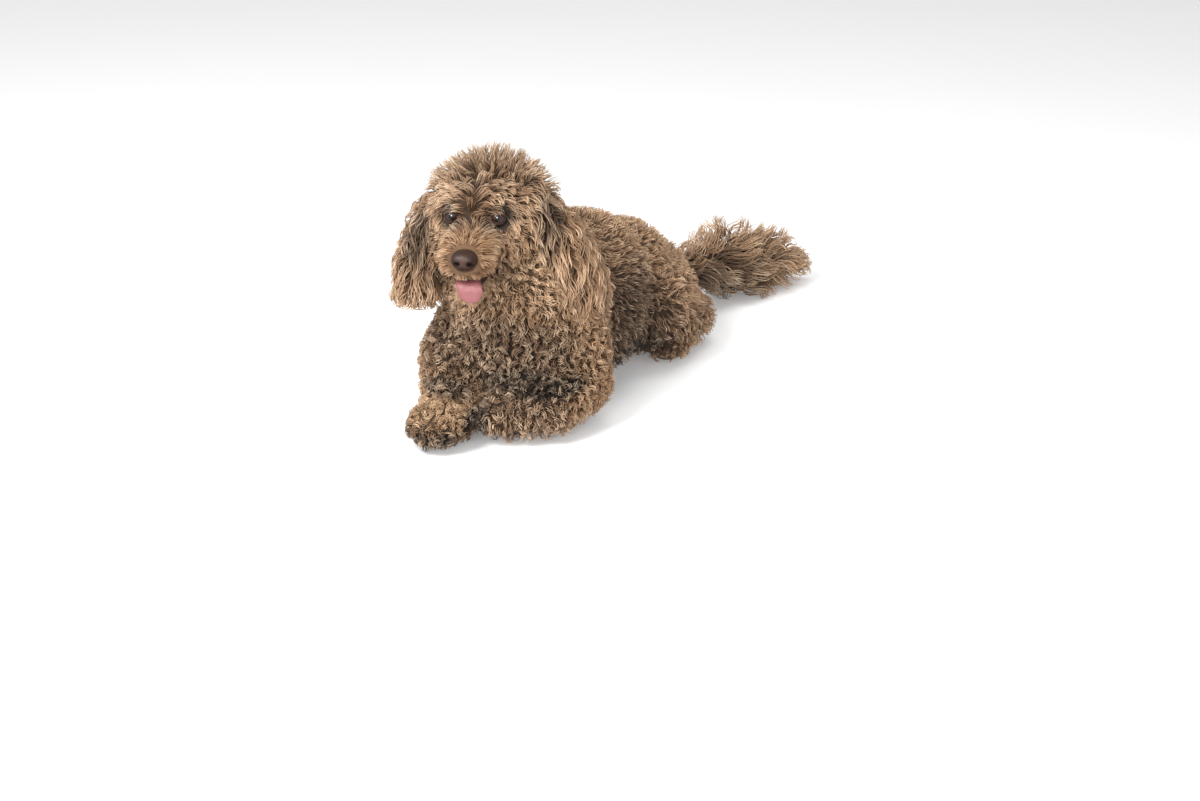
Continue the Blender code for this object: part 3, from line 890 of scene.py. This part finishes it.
def markings():
    tailLow, tailHigh = boxOf("tail")
    leftEye, rightEye = (eyeCentres[side] + 0.006 * headForward for side in ("left", "right"))
    return {  # place, half sizes, colour, strength
        "topknotAsh": (onHead(-0.075, 0.0, 0.030), (0.075, 0.085, 0.065), linear(164, 138, 114), 0.7),
        "muzzleTan": (onHead(0.045, 0.0, -0.035), (0.036, 0.040, 0.036), linear(172, 129, 90), 0.85),
        "noseEdge": (noseMiddle, (0.0155, 0.0190, 0.0155), linear(120, 84, 56), 0.7),
        "leftEyeShade": (leftEye, (0.023, 0.023, 0.018), linear(54, 36, 25), 0.9),
        "rightEyeShade": (rightEye, (0.023, 0.023, 0.018), linear(54, 36, 25), 0.9),
        "leftEarShade": (onHead(-0.040, 0.078, -0.016), (0.028, 0.022, 0.046), linear(70, 54, 42), 0.8),
        "rightEarShade": (onHead(-0.022, -0.072, -0.030), (0.028, 0.022, 0.042), linear(70, 54, 42), 0.75),
        # painted shade over the lower chest, above the forearm
        "chestLowShade": (np.array((0.015, -0.300, 0.092)), (0.125, 0.060, 0.052), linear(112, 87, 67), 0.9),
        "throatPale": (np.array((0.050, -0.285, 0.172)), (0.050, 0.050, 0.036), linear(212, 176, 140), 0.5),
        "foreheadWarm": (onHead(0.004, 0.0, 0.010), (0.030, 0.024, 0.017), linear(128, 94, 64), 0.8),
        "forearmTop": (np.array((0.065, -0.335, 0.040)), (0.065, 0.050, 0.036), linear(130, 103, 80), 0.8),
        # painted shade in the fold between the chest and the forearm
        "forearmFoldShade": (np.array((0.069, -0.304, 0.065)), (0.072, 0.052, 0.013), linear(50, 37, 28), 0.95),
        # painted shade in the fold above the forepaw
        "pawFoldShade": (np.array((-0.025, -0.346, 0.058)), (0.050, 0.022, 0.013), linear(60, 44, 33), 0.85),
        # painted shade in the gap between the forepaws
        "pawGapShade": (np.array((0.016, -0.355, 0.030)), (0.013, 0.036, 0.030), linear(44, 32, 24), 0.95),
        # painted light on the forepaw's top, where the light falls
        "pawTopLight": (np.array((-0.015, -0.394, 0.048)), (0.038, 0.030, 0.015), linear(190, 156, 120), 0.65),
        # painted shade low on the forepaw's toes, by the floor
        "pawToesShade": (np.array((-0.007, -0.414, 0.012)), (0.055, 0.040, 0.022), linear(60, 44, 33), 0.85),
        "flankShade": (np.array((0.095, -0.110, 0.078)), (0.070, 0.10, 0.090), linear(78, 59, 44), 0.8),
        "bellyShade": (np.array((0.080, -0.075, 0.030)), (0.055, 0.075, 0.034), linear(52, 38, 29), 0.9),
        # tailCore here: painted shade in the middle and underside of the tail's plume
        "tailCore": (np.array((0.030, tailLow[1] + 0.09, 0.036)), (0.08, 0.15, 0.046), linear(92, 70, 52), 0.9),
        "tailEnd": (np.array((0.070, tailHigh[1], 0.060)), (0.060, 0.10, 0.060), linear(190, 158, 126), 0.5),
        "heel": (boxOf("hindpaw_left")[1] - (0.0, 0.02, 0.0), (0.04, 0.05, 0.03), linear(142, 112, 85), 0.6),
    }


def coatColour(wire, place):
    patches = wire.noise(place, 34.0, 2.0)
    colour = wire.noise(place, 9.0, 3.0).ranged(0.35, 0.68).between(coatColours["ground"], coatColours["warm"])
    turn = math.atan2(headForward[1], headForward[0])
    for name, (middle, half, paint, strength) in markings().items():
        local = wire.vectorMaths("SUBTRACT", place, tuple(middle))
        if name.startswith(("topknot", "forehead", "muzzle", "nose", "left", "right")):  # these turn with the head
            spun = {"Vector": local, "Angle": -turn}
            local = wire.node("ShaderNodeVectorRotate", {"rotation_type": "Z_AXIS"}, spun)
        local = wire.vectorMaths("DIVIDE", local, tuple(half))
        gap = wire.node("ShaderNodeVectorMath", {"operation": "LENGTH"}, {0: local}, output="Value")
        colour = colour.mixed(paint, (gap + patches * 0.5 - 0.25).ranged(0.55, 1.25, strength, 0.0))
    # painted shade laid over the folds and the toe gaps
    return colour.mixed(coatColours["fold"], wire.attribute("fold") * coatTone["fold"])


def coatFinish():
    material, wire = newFinish("curled coat")
    along, tint, around = wire.attribute("along"), wire.attribute("tint"), wire.attribute("around")
    strand = {"X": around * 2.2 + tint * 61.0, "Y": along * 2.5, "Z": tint * 37.0}
    hairs = wire.noise(wire.node("ShaderNodeCombineXYZ", None, strand), 2.4, 3.0)
    shade = wire.node("ShaderNodeValToRGB", {"stops": coatShade}, {"Fac": along})
    sunlit = (along ** 2.0) * tint.ranged(0.25, 0.95) * coatTone["sun"]
    brightness = coatTone["least"] + tint * coatTone["tint"] + hairs * coatTone["hairs"]
    toned = coatColour(wire, wire.place()).mixed(coatColours["pale"], sunlit).scaled(brightness)
    multiply = {"data_type": "RGBA", "blend_type": "MULTIPLY"}
    colour = wire.node("ShaderNodeMix", multiply, {0: 1.0, 6: toned, 7: shade}, output=2)
    values = {"Base Color": colour, "Roughness": 0.40 + hairs * 0.20, "Specular IOR Level": 0.5}
    closeFinish(wire, values, (hairs, 0.0006, 0.55))
    return material


def skinFinish():
    material, wire = newFinish("skin under the coat")
    place, mouth = wire.place(), wire.attribute("mouth")
    fuzz = wire.noise(place, 520.0, 4.0)
    velvet = wire.vectorMaths("DISTANCE", place, tuple(noseMiddle), "Value").ranged(0.016, 0.026, 0.22, 0.0)
    shadedFurCover = coatColour(wire, place).scaled(0.04 + fuzz * 0.26 + velvet)  # painted dark, standing in for the shade deep between the locks; lighter round the nose
    lips = wire.noise(place, 160.0, 2.0).between(linear(46, 26, 22), linear(74, 40, 36))
    values = {"Base Color": shadedFurCover.mixed(lips, mouth), "Roughness": 0.80 - mouth * 0.5}
    closeFinish(wire, values, (fuzz, 0.0022, 1.0))
    return material


finishes = {"coat": coatFinish(), "skin": skinFinish()}
attribute(skin.data, "mouth", mouthShare(skinPoints))
attribute(skin.data, "fold", skinFoldShade)
finishPiece(skin, finishes["skin"])
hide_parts(*flesh)

gazeTurn = {"left": 10.0, "right": 2.0}  # degrees to the dog's left of straight ahead
eyeGaze = {}
for side, turn in gazeTurn.items():
    spin = Matrix.Rotation(math.radians(turn), 3, "Z")
    eyeGaze[side] = unit(np.array(spin @ Vector(headForward)) + 0.02 * up)

eyeMake = {
    "share": 0.985,  # of the solid's size
    "pupil": 0.0030, "iris": 0.0066,
    "cornea": 0.045, "corneaSpread": 0.62,  # its bulge as a share of the eye's size, and its half angle
    "openWide": 42.0, "openTall": 20.0, "corner": 0.12,  # degrees from the gaze to the rim; the corners' extra share
    "lidThick": 0.0008, "rings": 32, "turns": 48,
}


def gazeAxes(side):
    gaze = eyeGaze[side]
    across = unit(np.cross(up, gaze))
    return gaze, across, np.cross(gaze, across)


def wayAt(axes, polar, angle):
    gaze, across, above = axes
    return math.cos(polar) * gaze + math.sin(polar) * (math.cos(angle) * across + math.sin(angle) * above)


def ballMesh(name, centre, axes, rings, turns, radiusAt):
    points, faces = [centre + axes[0] * radiusAt(0.0)], []
    for ring in range(1, rings):
        polar = math.pi * ring / rings
        for turn in range(turns):
            points.append(centre + wayAt(axes, polar, 2.0 * math.pi * turn / turns) * radiusAt(polar))
    points.append(centre - axes[0] * radiusAt(math.pi))
    last = len(points) - 1
    for turn in range(turns):
        following = (turn + 1) % turns
        faces.append((0, 1 + turn, 1 + following))
        for ring in range(rings - 2):
            here, below = 1 + ring * turns, 1 + (ring + 1) * turns
            faces.append((here + turn, below + turn, below + following, here + following))
        faces.append((last - turns + following, last - turns + turn, last))
    return meshOf(name, points, faces)


def makeEye(side):
    make, axes = eyeMake, gazeAxes(side)
    size = eyeSize * make["share"]

    def radiusAt(polar):
        return size * (1.0 + make["cornea"] * math.exp(-((polar / make["corneaSpread"]) ** 2)))

    name = "eye" + side.capitalize()
    eye = newObject(name, ballMesh(name, eyeCentres[side], axes, make["rings"], make["turns"], radiusAt))
    finishPiece(eye, eyeFinish(side))
    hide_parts("eye_" + side)

    thick, points, faces = make["lidThick"], [], []
    profile = (  # angle past the rim in degrees, height over the eyeball
        (2.0, 0.0001), (0.0, 0.0004), (2.0, thick), (7.0, thick * 1.2), (13.0, thick),
        (24.0, 0.0003), (55.0, -0.0002), (52.0, -0.0014), (30.0, -0.0014),
    )
    count, turns = len(profile), make["turns"]
    for turn in range(turns):
        angle = 2.0 * math.pi * turn / turns
        rim = math.hypot(math.cos(angle) * make["openWide"], math.sin(angle) * make["openTall"])
        rim *= 1.0 + make["corner"] * math.cos(angle) ** 8
        for past, height in profile:
            polar = math.radians(rim + past)
            points.append(eyeCentres[side] + wayAt(axes, polar, angle) * (radiusAt(polar) + height))
        here, there = turn * count, (turn + 1) % turns * count
        for step in range(count):
            after = (step + 1) % count
            faces.append((here + step, there + step, there + after, here + after))
    name = "lids" + side.capitalize()
    lids = newObject(name, meshOf(name, points, faces))
    outward(lids.data)
    attribute(lids.data, "outer", [float(smoothStep(past, 4.0, 16.0)) for past, _ in profile] * turns)
    finishPiece(lids, finishes["lids"])


def outward(mesh):
    held = bmesh.new()
    held.from_mesh(mesh)
    bmesh.ops.recalc_face_normals(held, faces=held.faces)
    if held.calc_volume(signed=True) < 0.0:
        bmesh.ops.reverse_faces(held, faces=held.faces)
    held.to_mesh(mesh)
    held.free()


def eyeFinish(side):
    material, wire = newFinish("eye " + side)
    local = wire.vectorMaths("SUBTRACT", wire.place(), tuple(eyeCentres[side]))
    ahead, sideways, upwards = (
        wire.vectorMaths("DOT_PRODUCT", local, tuple(axis), "Value") for axis in gazeAxes(side)
    )
    gap = (sideways * sideways + upwards * upwards) ** 0.5
    angle = wire.maths("ARCTAN2", upwards, sideways)
    spokes = {"X": wire.maths("COSINE", angle), "Y": wire.maths("SINE", angle), "Z": gap * 60.0}
    fibres = wire.noise(wire.node("ShaderNodeCombineXYZ", None, spokes), 9.0, 4.0)
    iris = fibres.ranged(0.35, 0.7).between(linear(26, 13, 7), linear(66, 37, 20))
    pupil = gap.ranged(eyeMake["pupil"] - 0.0003, eyeMake["pupil"] + 0.0003)
    rim = gap.ranged(eyeMake["iris"] - 0.0012, eyeMake["iris"])
    behind = ahead.ranged(0.0, 0.001, 1.0, 0.0)
    colour = iris.mixed(linear(6, 4, 4), 1.0 - pupil).mixed(linear(40, 24, 16), rim).mixed(linear(90, 66, 54), behind)
    ball = {"Base Color": colour, "Roughness": 0.25, "Specular IOR Level": 0.15}
    wet = {"Coat Weight": 1.0, "Coat Roughness": 0.03, "Coat IOR": 1.7}
    closeFinish(wire, {**ball, **wet}, (fibres, 0.0001, 0.1))
    return material


def lidFinish():
    material, wire = newFinish("eyelid leather")
    creases = wire.noise(wire.place(), 900.0, 3.0)
    rim = creases.between(linear(24, 15, 11), linear(46, 30, 22))
    colour = rim.mixed(linear(96, 70, 50), wire.attribute("outer"))
    closeFinish(wire, {"Base Color": colour, "Roughness": creases * 0.3 + 0.28}, (creases, 0.0003, 0.5))
    return material


noseMake = {"fine": 6, "share": 0.95, "square": 2.5, "groove": 0.0011}  # square: 2 is a round ball
noseDents = (  # place forward, aside and up from the middle; half sizes; depth
    ((0.0100, 0.0068, -0.0018), (0.0060, 0.0034, 0.0021), 0.0065),  # nostril
    ((0.0075, 0.0108, -0.0040), (0.0055, 0.0040, 0.0015), 0.0030),  # slit beside it
    ((0.0085, 0.0100, 0.0012), (0.0060, 0.0040, 0.0036), -0.0010),  # wing over it
)


def makeNose():
    held = bmesh.new()
    bmesh.ops.create_icosphere(held, subdivisions=noseMake["fine"], radius=1.0)
    ball = np.array([v.co[:] for v in held.verts])
    power = noseMake["square"]
    shape = ball / ((np.abs(ball) ** power).sum(1, keepdims=True) ** (1.0 / power))  # a ball with squarer cheeks
    forward, left, above = shape.T
    width = 1.0 - 0.20 * smoothStep(-above, 0.0, 1.0)  # narrower below
    forward = forward * (1.0 - 0.16 * smoothStep(-above, 0.1, 1.0)) - 0.10 * smoothStep(above, 0.35, 1.0)
    local = np.stack((forward, left * width, above), 1) * noseHalf * noseMake["share"]
    dents = np.zeros(len(local))
    for side in (-1.0, 1.0):
        for place, half, depth in noseDents:
            gap = (local - np.array(place) * (1.0, side, 1.0)) / half
            dents += depth * np.exp(-((gap**2).sum(1)))
    groove = np.exp(-((local[:, 1] / 0.0009) ** 2)) * smoothStep(-local[:, 2], -0.001, 0.004)
    dents += noseMake["groove"] * groove * smoothStep(forward, 0.2, 0.6)
    local[:, 0] -= dents
    for vertex, point in zip(held.verts, noseMiddle + local @ headAxes):
        vertex.co = point
    mesh = bpy.data.meshes.new("noseLeather")
    held.to_mesh(mesh)
    held.free()
    outward(mesh)
    # depth of the dents, for the painted shade in the nostrils
    attribute(mesh, "hollow", np.clip(dents / 0.0045, 0.0, 1.0))
    nose = newObject("noseLeather", mesh)
    finishPiece(nose, noseFinish())
    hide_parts("nose")


def noseFinish():
    material, wire = newFinish("nose leather")
    place = wire.place()
    pebbles = wire.node("ShaderNodeTexVoronoi", None, {"Vector": place, "Scale": 900.0}, output="Distance")
    front = wire.vectorMaths("DISTANCE", place, tuple(noseMiddle + headForward * 0.012), "Value")
    ground = wire.noise(place, 130.0, 3.0).between(linear(38, 20, 13), linear(58, 33, 22))
    lighter = ground.mixed(linear(96, 68, 56), front.ranged(0.002, 0.009, 0.5, 0.0))
    hollow = wire.attribute("hollow").ranged(0.25, 0.9)
    # painted shade in the nostrils and the slits beside them
    colour = lighter.mixed(linear(20, 11, 9), hollow).scaled(1.1 - pebbles * 0.5)
    leather = {"Base Color": colour, "Roughness": pebbles * 0.25 + 0.30, "Specular IOR Level": 0.35}
    closeFinish(wire, {**leather, "Coat Weight": 0.1, "Coat Roughness": 0.25}, (pebbles, 0.0004, 0.7))
    return material


tongueMake = {
    "steps": 40, "turns": 32, "halfWidth": 0.0152, "thick": 0.0030,
    "groove": 0.0016, "cup": 0.0022,  # the cup: its edges stand up a little behind the lip
    "root": 0.80,  # share of the width at the back
    "roundFrom": 0.76, "roundOver": 0.243,  # the round end, as shares of the length
    "run": (  # on the head, from the throat over the lip to the tip
        (0.004, 0.0, -0.060), (0.030, 0.0005, -0.0585), (0.050, 0.001, -0.0580),
        (0.0605, 0.0046, -0.0620), (0.0620, 0.0064, -0.0800),
    ),
}


def smoothRun(stations, count):
    # an even curve through the stations
    stations = np.array(stations)
    spans = np.concatenate(((0.0,), np.cumsum(np.linalg.norm(np.diff(stations, axis=0), axis=1))))
    places = np.linspace(0.0, spans[-1], count)
    run = np.stack([np.interp(places, spans, stations[:, k]) for k in range(3)], 1)
    for _ in range(6):
        run[1:-1] = 0.25 * run[:-2] + 0.5 * run[1:-1] + 0.25 * run[2:]
    return run


def tubeFaces(rings, turns):
    faces = []
    for ring in range(rings - 1):
        here, there = ring * turns, (ring + 1) * turns
        for turn in range(turns):
            after = (turn + 1) % turns
            faces.append((here + turn, here + after, there + after, there + turn))
    return faces + [tuple(range(turns))[::-1], tuple(range((rings - 1) * turns, rings * turns))]


def makeTongue():
    make = tongueMake
    run = smoothRun(make["run"], make["steps"])
    heading = unit(np.gradient(run, axis=0))
    side = np.array((0.0, 1.0, 0.0))
    points, along = [], []
    for step in range(make["steps"]):
        share = step / (make["steps"] - 1)
        end = max(0.0, (share - make["roundFrom"]) / make["roundOver"])
        width = make["root"] + (1.0 - make["root"]) * share
        width *= make["halfWidth"] * math.sqrt(max(1.0 - end**2, 0.004))
        thick = make["thick"] * (0.35 + 0.65 * width / make["halfWidth"])
        out = unit(np.cross(side, heading[step]))
        out = out if out[2] > -0.2 and out[0] > -0.5 else -out  # upwards, then forwards over the lip
        for turn in range(make["turns"]):
            angle = 2.0 * math.pi * turn / make["turns"]
            across, height = math.cos(angle), math.sin(angle)
            cup = make["cup"] * across**2 * (1.0 - share)
            dip = make["groove"] * math.exp(-((across / 0.22) ** 2)) * (height > 0) * (1.0 - 0.75 * share)
            local = run[step] + side * across * width + out * (height * thick + cup - dip)
            points.append(headZero + local @ headAxes)
            along.append(share)
    mesh = meshOf("tongueFlesh", points, tubeFaces(make["steps"], make["turns"]))
    outward(mesh)
    attribute(mesh, "along", along)
    tongue = newObject("tongueFlesh", mesh)
    smooth = tongue.modifiers.new("smooth", "SUBSURF")
    smooth.levels = smooth.render_levels = 1
    tongue.data = evaluatedMesh(tongue)
    tongue.modifiers.clear()
    finishPiece(tongue, tongueFinish())
    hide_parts("tongue")


def tongueFinish():
    material, wire = newFinish("tongue flesh")
    place = wire.place()
    buds = wire.node("ShaderNodeTexVoronoi", None, {"Vector": place, "Scale": 1500.0}, output="Distance")
    ground = wire.noise(place, 240.0, 3.0).between(linear(132, 76, 78), linear(160, 100, 102))
    throat = wire.attribute("along").ranged(0.25, 0.75, 0.85, 0.0)
    colour = ground.mixed(linear(112, 54, 58), throat).scaled(1.06 - buds * 0.3)
    soft = {"Subsurface Weight": 0.15, "Subsurface Scale": 0.004, "Coat Weight": 0.15, "Coat Roughness": 0.25}
    closeFinish(wire, {"Base Color": colour, "Roughness": buds * 0.2 + 0.30, **soft}, (buds, 0.0004, 0.7))
    return material


lipMake = {"turns": 12, "steps": 60, "thick": 0.0015, "ripple": 0.22, "wide": 1.25, "sweep": 105.0}
lipRuns = {  # middle forward, reach forward, half width, height at the corner, fall per metre forward
    "lipUpper": (0.012, 0.050, 0.0235, -0.0512, 0.00),
    "lipLower": (0.010, 0.040, 0.0185, -0.0565, 0.27),
}


def makeLip(name):
    middle, reach, half, height, fall = lipRuns[name]
    steps, turns = lipMake["steps"], lipMake["turns"]
    sweep = np.linspace(math.radians(-lipMake["sweep"]), math.radians(lipMake["sweep"]), steps)
    forward = middle + reach * np.cos(sweep)
    run = np.stack((forward, half * np.sin(sweep), height - fall * (forward - mouthShape["corner"])), 1)
    heading = unit(np.gradient(run, axis=0))
    points = []
    for step in range(steps):
        ripple = 1.0 + lipMake["ripple"] * math.sin(step * 1.9) * math.sin(step * 0.73)
        thick = lipMake["thick"] * (0.55 + 0.45 * math.sin(math.pi * step / (steps - 1))) * ripple
        side = unit(np.cross(heading[step], up)) * lipMake["wide"]
        for turn in range(turns):
            angle = 2.0 * math.pi * turn / turns
            local = run[step] + thick * (math.cos(angle) * side + math.sin(angle) * up)
            points.append(headZero + local @ headAxes)
    mesh = meshOf(name, points, tubeFaces(steps, turns))
    outward(mesh)
    finishPiece(newObject(name, mesh), finishes["lips"])


def lipFinish():
    material, wire = newFinish("wet lips")
    creases = wire.noise(wire.place(), 520.0, 4.0)
    colour = creases.between(linear(30, 18, 15), linear(70, 42, 36))
    wet = {"Roughness": creases * 0.3 + 0.35, "Coat Weight": 0.15, "Coat Roughness": 0.25}
    closeFinish(wire, {"Base Color": colour, **wet}, (creases, 0.0006, 0.8))
    return material


finishes["lids"], finishes["lips"] = lidFinish(), lipFinish()
for side in ("left", "right"):
    makeEye(side)
makeNose()
makeTongue()
for lipName in lipRuns:
    makeLip(lipName)
print("eyes, nose, tongue and lips done")

trees = {"sow": sowTree(), "sweep": sweepTree()}
for pieceName, pieceMake in coatPieces.items():
    growLocks(pieceName, pieceMake, trees)


studio = {
    "cameraPlace": (1.2717, -2.5573, 0.9780),
    "cameraRight": (0.892, 0.452, 0.012),
    "cameraUp": (-0.165, 0.300, 0.939),
    "lens": 72.0,
    "floorSize": 30.0,
    "floorDrop": 0.0005,
    "floorGlow": 0.16,
    "worldStrength": 0.55,
}
lights = {  # place, the point it faces, size, power
    "key": ((-0.5, -2.1, 2.0), (0.0, -0.1, 0.1), 1.3, 72.0),
    "fill": ((2.2, -1.6, 1.1), (0.0, -0.1, 0.1), 1.6, 22.0),
    "top": ((0.2, 0.2, 2.4), (0.0, 0.0, 0.1), 1.4, 16.0),
    "catch": ((0.75, -2.75, 0.95), (0.0, -0.3, 0.25), 1.0, 34.0),
}


def softLight(name, place, aim, size, power):
    data = bpy.data.lights.new(name, "AREA")
    data.shape, data.size, data.energy = "DISK", size, power
    lamp = bpy.data.objects.new(name, data)
    scene.collection.objects.link(lamp)
    lamp.location = place
    lamp.rotation_euler = (Vector(aim) - Vector(place)).to_track_quat("-Z", "Y").to_euler()
    lamp.visible_glossy = name in ("key", "catch")  # few lights show in the eyes


def makeStudio():
    half = studio["floorSize"] / 2.0
    corners = [(-half, -half, 0.0), (half, -half, 0.0), (half, half, 0.0), (-half, half, 0.0)]
    floor = newObject("floor", meshOf("floor", corners, [(0, 1, 2, 3)]))
    floor.location.z = -studio["floorDrop"]
    material, wire = newFinish("pale floor")
    colour = wire.noise(wire.place(), 3.0, 2.0).between((0.86, 0.86, 0.86, 1), (0.89, 0.89, 0.89, 1))
    glow = {"Emission Color": (1.0, 1.0, 1.0, 1.0), "Emission Strength": studio["floorGlow"]}
    closeFinish(wire, {"Base Color": colour, "Roughness": 0.7, **glow})
    floor.data.materials.append(material)
    floor.visible_glossy = False  # keeps the eyes and nose dark

    world = bpy.data.worlds.new("studio")
    world.use_nodes = True
    background = world.node_tree.nodes["Background"].inputs
    background["Color"].default_value = (1.0, 1.0, 1.0, 1.0)
    background["Strength"].default_value = studio["worldStrength"]
    scene.world = world
    for name, values in lights.items():
        softLight(name, *values)

    camera = bpy.data.objects.new("camera", bpy.data.cameras.new("camera"))
    scene.collection.objects.link(camera)
    right, above = Vector(studio["cameraRight"]).normalized(), Vector(studio["cameraUp"]).normalized()
    back = right.cross(above).normalized()
    turned = Matrix((right, back.cross(right), back)).transposed().to_4x4()
    camera.matrix_world = Matrix.Translation(studio["cameraPlace"]) @ turned
    camera.data.lens, camera.data.sensor_width = studio["lens"], 36.0
    scene.camera = camera
    scene.view_settings.view_transform = "Standard"
    print("studio: floor, camera and", len(lights), "lights")


makeStudio()
